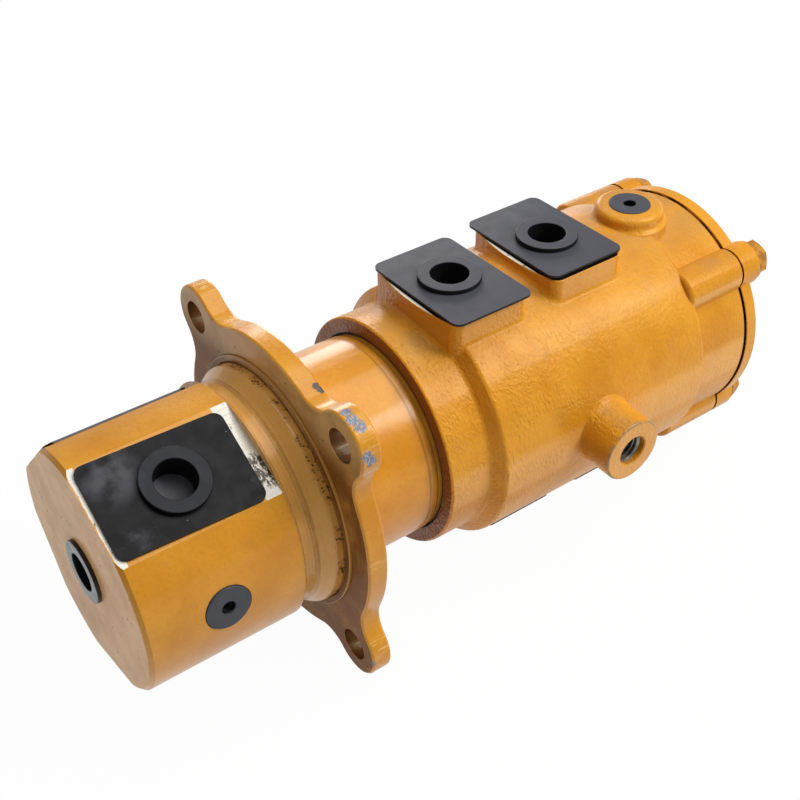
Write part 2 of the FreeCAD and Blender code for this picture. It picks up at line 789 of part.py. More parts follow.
def main():
    os.makedirs("parts", exist_ok=True)
    nodes = {
        "shaft": shaft(),
        "housing": housing(),
        "cover": cover(),
        "cover_bolts": cover_bolts(),
        "cover_washers": cover_washers(),
        "cover_o_ring": cover_o_ring(),
        "thrust_plate": thrust_plate(),
        "thrust_plate_bolts": thrust_plate_bolts(),
        "gallery_plugs": gallery_plugs(),
        "slipper_seals": slipper_seals(),
        "seal_energizers": seal_energizers(),
        "dust_seal": dust_seal(),
        "front_thrust_washer": front_thrust_washer(),
        "rear_thrust_washer": rear_thrust_washer(),
        "drain_boss_plug": drain_boss_plug(),
        "head_drain_plug": head_drain_plug(),
        "axial_port_plug": axial_port_plug(),
    }
    nodes.update(port_caps())
    for name, shape in nodes.items():
        solids = shape.Solids
        shape = solids[0] if len(solids) == 1 else Part.Compound(solids)
        shape.exportStep("parts/%s.step" % name)
        print(name, len(solids), shape.isValid(), round(shape.Volume))


main()
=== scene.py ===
import math

import bmesh
import bpy
from mathutils import Matrix, Vector


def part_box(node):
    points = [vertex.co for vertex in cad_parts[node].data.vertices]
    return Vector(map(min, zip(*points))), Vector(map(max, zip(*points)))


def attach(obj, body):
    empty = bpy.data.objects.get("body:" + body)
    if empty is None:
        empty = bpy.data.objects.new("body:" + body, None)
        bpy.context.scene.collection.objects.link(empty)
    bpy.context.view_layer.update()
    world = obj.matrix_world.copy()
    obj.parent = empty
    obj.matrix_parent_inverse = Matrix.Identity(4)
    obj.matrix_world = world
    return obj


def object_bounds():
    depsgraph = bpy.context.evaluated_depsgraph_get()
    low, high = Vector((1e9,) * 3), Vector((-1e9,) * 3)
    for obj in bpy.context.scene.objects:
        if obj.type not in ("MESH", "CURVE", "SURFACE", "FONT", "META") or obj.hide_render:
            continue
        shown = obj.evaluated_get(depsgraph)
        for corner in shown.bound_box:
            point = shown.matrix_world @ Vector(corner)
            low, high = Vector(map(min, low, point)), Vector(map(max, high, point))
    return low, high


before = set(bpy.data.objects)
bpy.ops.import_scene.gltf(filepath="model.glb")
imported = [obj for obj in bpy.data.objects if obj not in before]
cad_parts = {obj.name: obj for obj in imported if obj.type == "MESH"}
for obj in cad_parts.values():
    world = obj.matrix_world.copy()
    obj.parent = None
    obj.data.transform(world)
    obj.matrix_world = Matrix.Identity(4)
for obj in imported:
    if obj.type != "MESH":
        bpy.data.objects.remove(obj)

# Looks of the hydraulic rotary union: painted castings, bare machined seats, plastic caps.
# Metres. X is the turning axis, Z is up, and angles are in degrees from up towards -Y.

cad_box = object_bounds()

# Camera, as the photo was taken
CAMERA_AZIMUTH = -36.33
CAMERA_ELEVATION = 40.17
CAMERA_ROLL = -0.37
CAMERA_DISTANCE = 0.6945
CAMERA_AIM = Vector((0.0902, 0.0054, -0.0178))
CAMERA_SENSOR = 36.0
CAMERA_LENS = 55.24
CAMERA_SHIFT = (-0.0103, 0.0429)

# Lamps, each with its place, the side of its square and its power, all aimed at the middle
MIDDLE = (0.1, 0.0, 0.0)
LAMPS = (
    ("key", (0.78, -0.66, 0.90), 0.5, 9.2),
    ("overhead", (0.45, -0.03, 1.15), 0.9, 8.0),
    ("behind", (0.73, 1.09, 0.34), 0.5, 5.0),
)
WORLD_LIGHT = 0.28
FLOOR_SIZE = 12.0
FLOOR_WHITE_TO_CAMERA = 0.97
FLOOR_WHITE_TO_GLOSS = 0.8

# Directions and axes
UP = (0.0, 0.0, 1.0)
TO_STAY = (0.0, -1.0, 0.0)
TO_COVER = (1.0, 0.0, 0.0)
TO_HEAD = (-1.0, 0.0, 0.0)
ACROSS_AXIS = (0.0, 1.0, 1.0)

# Places on the shaft that its finish follows
HEAD_FRONT_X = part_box("shaft")[0].x
HEAD_BACK_X = -0.023
HEAD_FLAT_ANGLES = (26.0, -46.0, -118.0, -190.0)
HEAD_FLAT_HEIGHT = 0.0592
HEAD_DRAIN_ANGLE = 87.0
HEAD_CAP_START_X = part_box("head_port_cap_a")[0].x
HEAD_CAP_END_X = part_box("head_port_cap_a")[1].x
HEAD_CAP_TUCK = 0.003
# Middle of a smudge with painted sheen on the first head cap
HEAD_CAP_SMUDGE_AND_SHEEN = (-0.0900, -0.0130, 0.0615)
RUSTY_STRIP = (-0.0246, -0.0370, 0.0480)
UNDERCUT_LINES = (-0.0210, -0.0150, -0.0139, -0.0131)
PILOT_START_X = -0.009
PILOT_RADIUS = 0.0665
FLANGE_FACE_X = 0.0
FLANGE_BACK_X = 0.0115
FLANGE_HOLE_ANGLES = (43.5, 133.5, 223.5, 313.5)
FLANGE_HOLE_REACH = 0.0945
FLANGE_HOLE_RADIUS = 0.009
NECK_LINES = (0.0586, 0.0640)

# Low ring round the pilot on the flange's face
FLANGE_STEP_RADIUS = 0.0703
FLANGE_STEP_FLOOR_X = 0.0015
FLANGE_STEP_FACE_X = -0.0015
FLANGE_STEP_ROUND = 0.0005
FLANGE_STEP_GAP = 0.0004
FLANGE_STEP_SIDES = 180
FLANGE_STEP_ROUND_SIDES = 4

# Places on the housing that its finish follows
COLLAR_FACE_X = 0.0657
COLLAR_MOUTH_RADIUS = 0.0577
HOUSING_END_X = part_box("housing")[1].x
PAD_HEIGHT = 0.0785
CAP_GAP_SHADE = 0.0004
DRAIN_BOSS_X = 0.2435
DRAIN_BOSS_REACH = 0.023
STAY_BOSS_X = 0.1655
STAY_BOSS_FACE_Y = -0.0947
STAY_BOSS_RADIUS = 0.0185

# Thread in the stay hole
STAY_HOLE_RADIUS = 0.00875
STAY_HOLE_DEPTH = 0.030
THREAD_PITCH = 0.0025
THREAD_DEPTH = 0.0014
THREAD_START = 0.0012
THREAD_ROOT = 0.0001
THREAD_STEPS = 48

# Small holes in the round plugs
PLUG_HOLE_RADIUS = 0.0036
PLUG_HOLE_DEPTH = 0.002

# Chips in the paint, each as a place on the surface and a size
CHIPS = (
    ((0.0045, -0.0650, 0.0860), 0.0030),
    ((0.0040, -0.0700, 0.0853), 0.0034),
    ((0.0052, -0.0740, 0.0835), 0.0034),
    ((0.0035, -0.0820, 0.0720), 0.0030),
    ((0.0050, -0.0824, 0.0690), 0.0030),
    ((0.0092, -0.0326, 0.0785), 0.0020),
    ((0.0100, -0.0352, 0.0775), 0.0020),
    ((0.0008, -0.0850, -0.0646), 0.0016),
)


def colour(red, green, blue):
    """A colour as a display shows it, 0 to 255, for a shader."""
    def linear(value):
        value /= 255.0
        return value / 12.92 if value <= 0.04045 else ((value + 0.055) / 1.055) ** 2.4
    return (linear(red), linear(green), linear(blue), 1.0)


# Paint, clean, dirty and worn, and tones that stand for painted light and shade
PAINT_LIGHT = colour(222, 153, 42)
PAINT_DEEP = colour(207, 135, 27)
PAINT_MOTTLE = colour(170, 104, 24)
# Pale tones of the head's end face, dust together with a painted reflection; the first also pales the stay
# boss's face
PAINT_PALE = colour(255, 202, 140)
PAINT_WARM_DUST_AND_REFLECTION = colour(230, 170, 104)
PAINT_STAINED = colour(176, 124, 80)
# Painted shade in grooves and on faces towards the head, darkest on the collar's face, and over the bolts
PAINT_SHADED = colour(132, 86, 42)
# Scuffs on the flange's rim, and a painted highlight on the turned part of the shaft
PAINT_SCUFF_AND_HIGHLIGHT = colour(248, 208, 140)
# Dust with painted light on the top of the flange's face
PAINT_DUST_AND_LIGHT = colour(232, 188, 126)
# Brown dirt with painted shade on the lower flange face
PAINT_BROWN = colour(122, 70, 20)
PAINT_BROWN_CLOUD = colour(128, 80, 32)
PAINT_RUSTY = colour(150, 84, 36)
PAINT_GRIMY = colour(150, 96, 50)
# Grime with painted shade on what faces up on the housing
PAINT_GRIME_AND_SHADE = colour(160, 122, 78)
PAINT_WORN_RIM = colour(150, 130, 100)
BOLT_WORN = colour(150, 98, 48)
GOLDEN = colour(255, 222, 160)

# Dirt, painted shade, bare metal and rust
SPECK = colour(62, 40, 26)
# Dirt and painted shade in the crevices by the head and the pilot, and on the flange's bolt-hole walls
CREVICE_DIRT_AND_SHADE = colour(96, 60, 28)
# Dark joints, and painted shade in the collar's mouth and under the housing's caps
GAP_DARK = colour(26, 19, 14)
MACHINED = colour(240, 238, 226)
MACHINED_DULL = colour(206, 200, 180)
RUST = colour(96, 70, 46)
RUST_OLIVE = colour(84, 78, 48)
RUST_VIOLET = colour(70, 58, 62)
CHIPPED_STEEL = colour(104, 116, 138)
CHIPPED_STEEL_DARK = colour(66, 64, 66)
CHIP_SCRATCH = colour(176, 172, 170)
STEEL = colour(150, 150, 148)
STEEL_OILY = colour(96, 92, 78)
BRONZE = colour(190, 140, 76)
BRONZE_DULL = colour(150, 104, 52)

# Plastic and rubber, with painted light and shade on some of the plastic
CHARCOAL = colour(66, 66, 74)
CHARCOAL_SCUFF = colour(82, 82, 90)
# Painted shade on the sides of the housing's caps
CHARCOAL_SIDE_SHADE = colour(16, 16, 18)
HEAD_CAP = colour(15, 15, 17)
# Scuffs on the head caps, which also stand for a painted sheen
HEAD_CAP_SCUFF_AND_SHEEN = colour(96, 96, 103)
# Dust with painted light on the head caps' recess floors
HEAD_CAP_FLOOR_DUST_AND_LIGHT = colour(112, 112, 118)
HEAD_CAP_RING = colour(46, 47, 52)
SLATE = colour(66, 68, 75)
SLATE_SCUFF = colour(84, 86, 94)
# Painted shade in the round plugs' small holes
PLUG_HOLE = colour(5, 5, 6)
AXIAL_PLUG = colour(16, 18, 20)
# Painted reflection on the axial plug's front ring, in two greys
AXIAL_PLUG_FRONT_SHEEN = colour(146, 154, 158)
AXIAL_PLUG_FRONT_SHEEN_DARK = colour(104, 111, 115)
SLIPPER = colour(60, 92, 84)
SLIPPER_SCUFF = colour(80, 110, 102)
PLASTIC_DUST = colour(150, 150, 152)
RUBBER = colour(22, 18, 16)
RUBBER_WORN = colour(40, 32, 26)

# Gloss of the paint, and how much of its clear coat the dusty faces keep
PAINT_SPECULAR = 0.35
SHAFT_ROUGHNESS = 0.38
SHAFT_DULL_ROUGHNESS = 0.55
SHAFT_COAT = 0.45
END_FACE_COAT = 0.36
FLANGE_FACE_COAT = 0.08
FLANGE_TOP_COAT = 0.38
CAST_ROUGHNESS = 0.38
COVER_ROUGHNESS = 0.36
BOLT_ROUGHNESS = 0.42


class Finish:
    """A node material that is built up step by step."""

    def __init__(self, name, roughness=0.5, metallic=0.0, **settings):
        self.material = bpy.data.materials.new(name)
        self.material.use_nodes = True
        self.tree = self.material.node_tree
        self.shader = self.tree.nodes["Principled BSDF"]
        self.shader.inputs["Roughness"].default_value = roughness
        self.shader.inputs["Metallic"].default_value = metallic
        for setting, value in settings.items():
            socket = setting.replace("_", " ").title().replace("Ior", "IOR")
            self.shader.inputs[socket].default_value = value
        where = self.tree.nodes.new("ShaderNodeTexCoord")
        self.place = where.outputs["Object"]
        self.normal = where.outputs["Normal"]
        self.height = None

    def feed(self, socket, value):
        """Links a socket to another node, or sets its own value."""
        if isinstance(value, bpy.types.NodeSocket):
            self.tree.links.new(value, socket)
        else:
            socket.default_value = value

    def math(self, operation, first, second=0.0):
        """One sum on numbers."""
        node = self.tree.nodes.new("ShaderNodeMath")
        node.operation = operation
        self.feed(node.inputs[0], first)
        self.feed(node.inputs[1], second)
        return node.outputs[0]

    def times(self, first, second):
        """The product of two numbers."""
        return self.math("MULTIPLY", first, second)

    def vector(self, operation, first, second=(0.0, 0.0, 0.0)):
        """One sum on vectors; a dot product or a length comes back as a number."""
        node = self.tree.nodes.new("ShaderNodeVectorMath")
        node.operation = operation
        self.feed(node.inputs[0], first)
        self.feed(node.inputs[1], second)
        number = operation in ("DOT_PRODUCT", "LENGTH", "DISTANCE")
        return node.outputs["Value" if number else "Vector"]

    def along(self, direction, source=None):
        """How far the place lies along a direction."""
        return self.vector("DOT_PRODUCT", source or self.place, direction)

    def radius(self):
        """Distance from the turning axis."""
        return self.vector("LENGTH", self.vector("MULTIPLY", self.place, ACROSS_AXIS))

    def near(self, place):
        """Distance from a place."""
        return self.vector("DISTANCE", self.place, place)

    def noise(self, size, detail=2.0, stretch=(1.0, 1.0, 1.0), roughness=0.5, seed=0.0):
        """Cloudy noise whose lumps are about so large; stretch makes them longer."""
        node = self.tree.nodes.new("ShaderNodeTexNoise")
        node.noise_dimensions = "4D"
        node.inputs["W"].default_value = seed
        node.inputs["Scale"].default_value = 1.0
        node.inputs["Detail"].default_value = detail
        node.inputs["Roughness"].default_value = roughness
        scale = tuple(1.0 / (size * value) for value in stretch)
        self.feed(node.inputs["Vector"], self.vector("MULTIPLY", self.place, scale))
        return node.outputs[0]

    def patches(self, size, start, end, detail=2.0, roughness=0.5, seed=0.0):
        """Soft-edged patches: noise that turns from 0 to 1 between two of its levels."""
        return self.band(self.noise(size, detail, roughness=roughness, seed=seed), start, end)

    def cells(self, size, seed=0.0):
        """Distance from the nearest of many scattered points, in cell sizes."""
        node = self.tree.nodes.new("ShaderNodeTexVoronoi")
        node.voronoi_dimensions = "4D"
        node.inputs["W"].default_value = seed
        node.inputs["Scale"].default_value = 1.0 / size
        self.feed(node.inputs["Vector"], self.place)
        return node.outputs["Distance"]

    def band(self, value, start, end):
        """Rises smoothly from 0 to 1 as the value goes from start to end."""
        node = self.tree.nodes.new("ShaderNodeMapRange")
        node.interpolation_type = "SMOOTHSTEP"
        self.feed(node.inputs["Value"], value)
        node.inputs["From Min"].default_value = start
        node.inputs["From Max"].default_value = end
        return node.outputs[0]

    def span(self, value, start, end, soft):
        """1 between start and end, 0 outside, with soft sides."""
        rising = self.band(value, start - soft, start)
        falling = self.band(value, end + soft, end)
        return self.times(rising, falling)

    def facing(self, direction, start, end):
        """1 where the surface faces a direction, 0 where it turns away."""
        return self.band(self.along(direction, self.normal), start, end)

    def largest(self, values):
        """The largest of several numbers."""
        result = values[0]
        for value in values[1:]:
            result = self.math("MAXIMUM", result, value)
        return result

    def mix(self, share, first, second):
        """Blends two colours."""
        node = self.tree.nodes.new("ShaderNodeMix")
        node.data_type = "RGBA"
        self.feed(node.inputs["Factor"], share)
        self.feed(node.inputs["A"], first)
        self.feed(node.inputs["B"], second)
        return node.outputs["Result"]

    def blend(self, share, first, second):
        """Blends two numbers."""
        node = self.tree.nodes.new("ShaderNodeMix")
        self.feed(node.inputs["Factor"], share)
        self.feed(node.inputs["A"], first)
        self.feed(node.inputs["B"], second)
        return node.outputs["Result"]

    def raise_by(self, height, amount):
        """Adds relief; the amount is its depth in metres."""
        scaled = self.times(height, amount)
        self.height = scaled if self.height is None else self.math("ADD", self.height, scaled)

    def set(self, name, value):
        """Feeds one of the shader's sockets."""
        self.feed(self.shader.inputs[name], value)

    def finish(self):
        """Turns the gathered relief into the surface's normal."""
        if self.height is not None:
            bump = self.tree.nodes.new("ShaderNodeBump")
            bump.inputs["Distance"].default_value = 1.0
            bump.inputs["Strength"].default_value = 1.0
            self.feed(bump.inputs["Height"], self.height)
            self.feed(self.shader.inputs["Normal"], bump.outputs["Normal"])
        return self.material


def outward(angle):
    """Direction away from the axis at an angle."""
    turn = math.radians(angle)
    return (0.0, -math.sin(turn), math.cos(turn))


def paint_base(finish, lump_size, lump_depth):
    """Golden paint with slow changes of shade, fine mottling and an uneven sprayed surface."""
    shade = finish.patches(0.030, 0.30, 0.70, detail=3.0)
    paint = finish.mix(shade, PAINT_DEEP, PAINT_LIGHT)
    mottle = finish.patches(0.0018, 0.45, 0.80, detail=3.0, seed=2.0)
    paint = finish.mix(finish.times(mottle, 0.22), paint, PAINT_MOTTLE)
    smear = finish.patches(0.016, 0.56, 0.78, detail=4.0, roughness=0.6, seed=3.0)
    paint = finish.mix(finish.times(smear, 0.30), paint, PAINT_STAINED)
    finish.raise_by(finish.noise(lump_size, 2.5, seed=4.0), lump_depth)
    finish.raise_by(finish.noise(0.0007, 1.0, seed=5.0), 0.00002)
    return paint


def with_specks(finish, paint, where, size, share, seed):
    """Small dark specks of several sizes that lie only where the given mask is."""
    reach = finish.times(finish.noise(size * 2.5, 2.0, seed=seed), share * 2.0)
    inside = finish.math("SUBTRACT", reach, finish.cells(size, seed))
    mask = finish.times(finish.band(inside, 0.0, 0.05), where)
    finish.raise_by(mask, -0.00008)
    return finish.mix(mask, paint, SPECK)


def machined(finish, seed):
    """Bare machined metal with faint tool marks and small rust scratches."""
    marks = finish.noise(0.0014, 2.0, stretch=(6.0, 1.0, 1.0), seed=seed)
    metal = finish.mix(finish.times(finish.band(marks, 0.40, 0.75), 0.5), MACHINED, MACHINED_DULL)
    blotch = finish.patches(0.0050, 0.605, 0.65, detail=5.0, roughness=0.65, seed=seed)
    scratch = finish.noise(0.0022, 3.0, stretch=(0.5, 2.0, 2.0), seed=seed + 1.0)
    blotch = finish.times(blotch, finish.band(scratch, 0.38, 0.5))
    return finish.mix(blotch, metal, RUST)


def rusty_strip(finish, metal):
    """Rust and scratches in the corner of the bare strip behind the first head cap."""
    reach = finish.band(finish.near(RUSTY_STRIP), 0.0155, 0.0060)
    ragged = finish.noise(0.0021, 4.0, stretch=(0.8, 1.3, 1.0), roughness=0.7, seed=17.0)
    patch = finish.band(finish.math("ADD", ragged, finish.times(reach, 0.22)), 0.66, 0.71)
    patch = finish.times(patch, reach)
    tone = finish.mix(finish.patches(0.0016, 0.42, 0.58, seed=18.0), RUST_OLIVE, RUST_VIOLET)
    return finish.mix(patch, metal, tone)


def chip_mask(finish):
    """Where the paint has chipped off, with ragged edges."""
    ragged = finish.times(finish.math("SUBTRACT", finish.noise(0.0012, 3.0), 0.5), 0.007)
    spots = []
    for place, size in CHIPS:
        gap = finish.math("ADD", finish.near(place), ragged)
        spots.append(finish.band(gap, size, size * 0.8))
    return finish.largest(spots)


def turning_marks(finish, mask, depth):
    """Fine rings that the lathe left, as relief; gives back where they lie."""
    rings = finish.noise(0.0010, 3.0, stretch=(1.0, 150.0, 150.0), roughness=0.7, seed=7.0)
    finish.raise_by(finish.times(rings, mask), depth)
    return finish.times(finish.band(rings, 0.52, 0.72), mask)


def tool_lines(finish, x, places, half_width, depth):
    """Single grooves round the axis, as relief; gives back where they lie."""
    lines = []
    for place in places:
        off_line = finish.math("ABSOLUTE", finish.math("SUBTRACT", x, place))
        lines.append(finish.band(off_line, half_width, half_width * 0.3))
    mask = finish.largest(lines)
    finish.raise_by(mask, -depth)
    return mask


def turned_paint(finish, x, paint):
    """Lathe marks and grooves in the paint between the head and the collar, a painted highlight on the
    turned part, painted shade in the grooves, and dirt with painted shade in the crevices.
    """
    turned = finish.span(x, HEAD_BACK_X, FLANGE_FACE_X, 0.0006)
    # Painted highlight: the turned part is made paler
    paint = finish.mix(finish.times(turned, 0.25), paint, PAINT_SCUFF_AND_HIGHLIGHT)
    on_pilot = finish.band(x, PILOT_START_X - 0.002, PILOT_START_X + 0.002)
    rings = turning_marks(finish, finish.times(turned, finish.blend(on_pilot, 1.0, 0.25)), 0.00050)
    paint = finish.mix(finish.times(rings, 0.20), paint, PAINT_MOTTLE)
    broken = finish.patches(0.018, 0.38, 0.58, seed=19.0)
    lines = tool_lines(finish, x, UNDERCUT_LINES, 0.00045, 0.00022)
    # Painted shade in the undercut's grooves
    paint = finish.mix(finish.times(finish.times(lines, broken), 0.35), paint, PAINT_SHADED)
    lines = tool_lines(finish, x, NECK_LINES, 0.0007, 0.0004)
    # Painted shade in the neck's grooves
    paint = finish.mix(finish.times(lines, 0.35), paint, PAINT_SHADED)
    # Dirt and painted shade in the crevices behind the head and at the pilot's foot
    crevice_lines = tool_lines(finish, x, (HEAD_BACK_X + 0.0004, FLANGE_STEP_FACE_X - 0.0002), 0.0006, 0.0001)
    return finish.mix(finish.times(crevice_lines, 0.6), paint, CREVICE_DIRT_AND_SHADE)


def faces_with_dust_and_painted_light(finish, paint, facing, at_flange, at_top):
    """Pale dust with a painted reflection on the head's end face, and brown dirt on the flange's, with
    painted light at its top and painted shade below; paint shows through.
    """
    clouds = finish.patches(0.022, 0.36, 0.66, detail=5.0, roughness=0.6, seed=9.0)
    # Head's end face: dust together with a painted reflection
    end_dust_and_reflection = finish.mix(clouds, PAINT_PALE, PAINT_WARM_DUST_AND_REFLECTION)
    # Flange's face: painted light at the top, brown dirt with painted shade below
    flange_dirt_light_and_shade = finish.mix(at_top, PAINT_BROWN, PAINT_DUST_AND_LIGHT)
    flange_dirt_light_and_shade = finish.mix(finish.times(clouds, 0.5), flange_dirt_light_and_shade, PAINT_BROWN_CLOUD)
    dust = finish.mix(at_flange, end_dust_and_reflection, flange_dirt_light_and_shade)
    worn_through = finish.patches(0.030, 0.44, 0.70, detail=4.0, roughness=0.6, seed=36.0)
    cover = finish.times(facing, finish.blend(worn_through, 0.94, 0.40))
    paint = finish.mix(cover, paint, dust)
    return with_specks(finish, paint, facing, 0.0042, 0.17, 3.0)


def pilot_rust(finish, x, paint):
    """Patchy rust and specks round the pilot, beside the flange."""
    beside_flange = finish.span(x, FLANGE_FACE_X - 0.0048, FLANGE_FACE_X - 0.0014, 0.0025)
    on_pilot = finish.band(finish.radius(), PILOT_RADIUS + 0.0004, PILOT_RADIUS + 0.0002)
    patchy = finish.patches(0.016, 0.40, 0.62, seed=11.0)
    rusted = finish.times(finish.times(beside_flange, on_pilot), patchy)
    paint = finish.mix(finish.times(rusted, 0.30), paint, PAINT_RUSTY)
    return with_specks(finish, paint, rusted, 0.0015, 0.46, 5.0)


def scuffed_rim(finish, x, paint):
    """Scuffs across the flange's rim."""
    on_rim = finish.span(x, FLANGE_FACE_X + 0.0006, FLANGE_BACK_X - 0.0012, 0.0006)
    scuffs = finish.band(finish.noise(0.0012, 3.0, stretch=(7.0, 0.6, 0.6), seed=34.0), 0.52, 0.64)
    patchy = finish.patches(0.022, 0.48, 0.60, seed=35.0)
    scuffs = finish.times(finish.times(scuffs, patchy), on_rim)
    return finish.mix(finish.times(scuffs, 0.6), paint, PAINT_SCUFF_AND_HIGHLIGHT)


def flange_hole_walls(finish, x):
    """Where the walls of the four bolt holes are."""
    walls = []
    for angle in FLANGE_HOLE_ANGLES:
        centre = tuple(FLANGE_HOLE_REACH * part for part in outward(angle))
        across = finish.vector("MULTIPLY", finish.vector("SUBTRACT", finish.place, centre), ACROSS_AXIS)
        distance = finish.vector("LENGTH", across)
        walls.append(finish.band(distance, FLANGE_HOLE_RADIUS + 0.0005, FLANGE_HOLE_RADIUS + 0.0002))
    inside = finish.span(x, FLANGE_FACE_X + 0.0003, FLANGE_BACK_X - 0.0003, 0.0003)
    return finish.times(finish.largest(walls), inside)


def grimy_neck(finish, x, paint):
    """Smudges on the neck near the collar."""
    on_neck = finish.band(x, FLANGE_BACK_X, FLANGE_BACK_X + 0.003)
    by_collar = finish.span(x, COLLAR_FACE_X - 0.004, COLLAR_FACE_X + 0.01, 0.012)
    smudge = finish.patches(0.018, 0.42, 0.68, detail=4.0, seed=14.0)
    grime = finish.times(smudge, finish.times(on_neck, by_collar))
    return finish.mix(finish.times(grime, 0.55), paint, PAINT_GRIMY)


def bare_flats(finish, x):
    """Where the machined port flats show beside their caps, with ragged paint edges."""
    ragged = finish.times(finish.math("SUBTRACT", finish.noise(0.004, 4.0), 0.5), 0.0016)
    place = finish.math("ADD", x, ragged)
    in_head = finish.band(place, HEAD_BACK_X + 0.0004, HEAD_BACK_X - 0.0002)
    behind_front = finish.band(place, HEAD_FRONT_X + 0.0004, HEAD_FRONT_X + 0.0008)
    cap_start = HEAD_CAP_START_X + HEAD_CAP_TUCK
    cap_end = HEAD_CAP_END_X - HEAD_CAP_TUCK
    before_cap = finish.band(x, cap_start, cap_start - 0.0004)
    after_cap = finish.band(x, cap_end, cap_end + 0.0004)
    beside_cap = finish.math("MAXIMUM", before_cap, after_cap)
    faces = []
    for angle in HEAD_FLAT_ANGLES:
        height = finish.along(outward(angle))
        level = finish.band(height, HEAD_FLAT_HEIGHT - 0.00025, HEAD_FLAT_HEIGHT - 0.00015)
        flush = finish.facing(outward(angle), 0.9990, 0.9997)
        faces.append(finish.times(level, flush))
    bare = finish.largest(faces)
    for limit in (in_head, behind_front, beside_cap):
        bare = finish.times(bare, limit)
    return bare


def chipped_steel(finish):
    """Scratched steel in the chips, darker in those away from the near lobe."""
    streaks = finish.noise(0.0008, 3.0, stretch=(0.5, 2.0, 2.0), seed=16.0)
    chipped = finish.mix(finish.band(streaks, 0.46, 0.60), CHIPPED_STEEL, CHIP_SCRATCH)
    by_lobe = finish.band(finish.along(TO_STAY), 0.045, 0.055)
    return finish.mix(by_lobe, CHIPPED_STEEL_DARK, chipped)


def shaft_finish():
    """Smooth paint on the turned shaft, with painted highlight and shade, its bare port flats, end faces
    with dust and painted light, chips and rust.
    """
    finish = Finish("shaft_paint", roughness=SHAFT_ROUGHNESS, specular_ior_level=PAINT_SPECULAR,
                    specular_tint=GOLDEN, coat_weight=SHAFT_COAT, coat_roughness=0.16)
    x = finish.along(TO_COVER)
    facing = finish.facing(TO_HEAD, 0.90, 0.98)
    at_flange = finish.band(x, HEAD_BACK_X, HEAD_BACK_X + 0.01)
    at_top = finish.band(finish.along(UP), 0.045, 0.075)
    paint = paint_base(finish, 0.0030, 0.00022)
    paint = turned_paint(finish, x, paint)
    paint = faces_with_dust_and_painted_light(finish, paint, facing, at_flange, at_top)
    paint = pilot_rust(finish, x, paint)
    patchy = finish.patches(0.020, 0.50, 0.62, detail=1.0, seed=13.0)
    paint = with_specks(finish, paint, patchy, 0.0075, 0.07, 6.0)
    paint = scuffed_rim(finish, x, paint)
    # Dirt and painted shade on the walls of the flange's bolt holes
    paint = finish.mix(flange_hole_walls(finish, x), paint, CREVICE_DIRT_AND_SHADE)
    paint = grimy_neck(finish, x, paint)
    bare = bare_flats(finish, x)
    surface = finish.mix(bare, paint, rusty_strip(finish, machined(finish, 15.0)))
    chips = chip_mask(finish)
    surface = finish.mix(chips, surface, chipped_steel(finish))
    finish.raise_by(chips, -0.00012)
    finish.set("Base Color", surface)
    dull = finish.largest([bare, chips, facing])
    finish.set("Roughness", finish.blend(dull, SHAFT_ROUGHNESS, SHAFT_DULL_ROUGHNESS))
    flange_coat = finish.blend(at_top, FLANGE_FACE_COAT, FLANGE_TOP_COAT)
    face_coat = finish.blend(at_flange, END_FACE_COAT, flange_coat)
    finish.set("Coat Weight", finish.blend(facing, SHAFT_COAT, face_coat))
    return finish.finish()


def cast_skin(finish):
    """Wrinkles, streaks and pimples of the casting, coarser towards the collar."""
    by_shoulder = finish.band(finish.along(TO_COVER), 0.200, 0.120)
    rough = finish.patches(0.030, 0.40, 0.60, seed=23.0)
    rough = finish.blend(by_shoulder, finish.times(rough, 0.2), rough)
    streaks = finish.noise(0.0016, 1.5, stretch=(0.9, 1.2, 1.2), seed=20.0)
    finish.raise_by(finish.times(streaks, finish.blend(rough, 0.26, 1.4)), 0.00080)
    finish.raise_by(finish.noise(0.014, 1.5, seed=21.0), 0.00070)
    pimples = finish.band(finish.cells(0.007, 22.0), 0.13, 0.04)
    finish.raise_by(pimples, 0.00035)
    folds = finish.noise(0.0042, 2.0, stretch=(0.8, 1.6, 1.6), seed=24.0)
    ridges = finish.math("ABSOLUTE", finish.math("SUBTRACT", folds, 0.5))
    wrinkled = finish.patches(0.024, 0.46, 0.60, seed=29.0)
    wrinkled = finish.times(wrinkled, finish.blend(by_shoulder, 0.25, 1.0))
    finish.raise_by(finish.times(finish.band(ridges, 0.12, 0.0), wrinkled), 0.00026)


def housing_dirt_and_shade(finish, x, paint):
    """Specks, painted shade on the faces towards the head, darkest on the collar's face, and grime with
    painted shade on what faces up.
    """
    patchy = finish.patches(0.022, 0.5, 0.62, detail=1.0, seed=26.0)
    paint = with_specks(finish, paint, patchy, 0.009, 0.06, 27.0)
    facing = finish.facing(TO_HEAD, 0.90, 0.98)
    at_collar = finish.band(x, COLLAR_FACE_X + 0.004, COLLAR_FACE_X + 0.002)
    # Painted shade on the collar's face
    paint = finish.mix(finish.times(facing, at_collar), paint, PAINT_SHADED)
    # Painted shade on every face towards the head
    paint = finish.mix(finish.times(facing, 0.30), paint, PAINT_SHADED)
    # Grime with painted shade on what faces up
    top_grime_and_shade = finish.facing(UP, 0.80, 1.0)
    top_grime_and_shade = finish.times(top_grime_and_shade, finish.patches(0.025, 0.30, 0.60, detail=3.0, seed=30.0))
    return finish.mix(finish.times(top_grime_and_shade, 0.45), paint, PAINT_GRIME_AND_SHADE)


def joint_tone(finish):
    """How dark the joint is: black at the sides, filled with paint on top."""
    on_top = finish.band(finish.along(UP), 0.030, 0.060)
    patchy = finish.patches(0.010, 0.42, 0.60, seed=33.0)
    return finish.blend(finish.times(on_top, patchy), 1.0, 0.25)


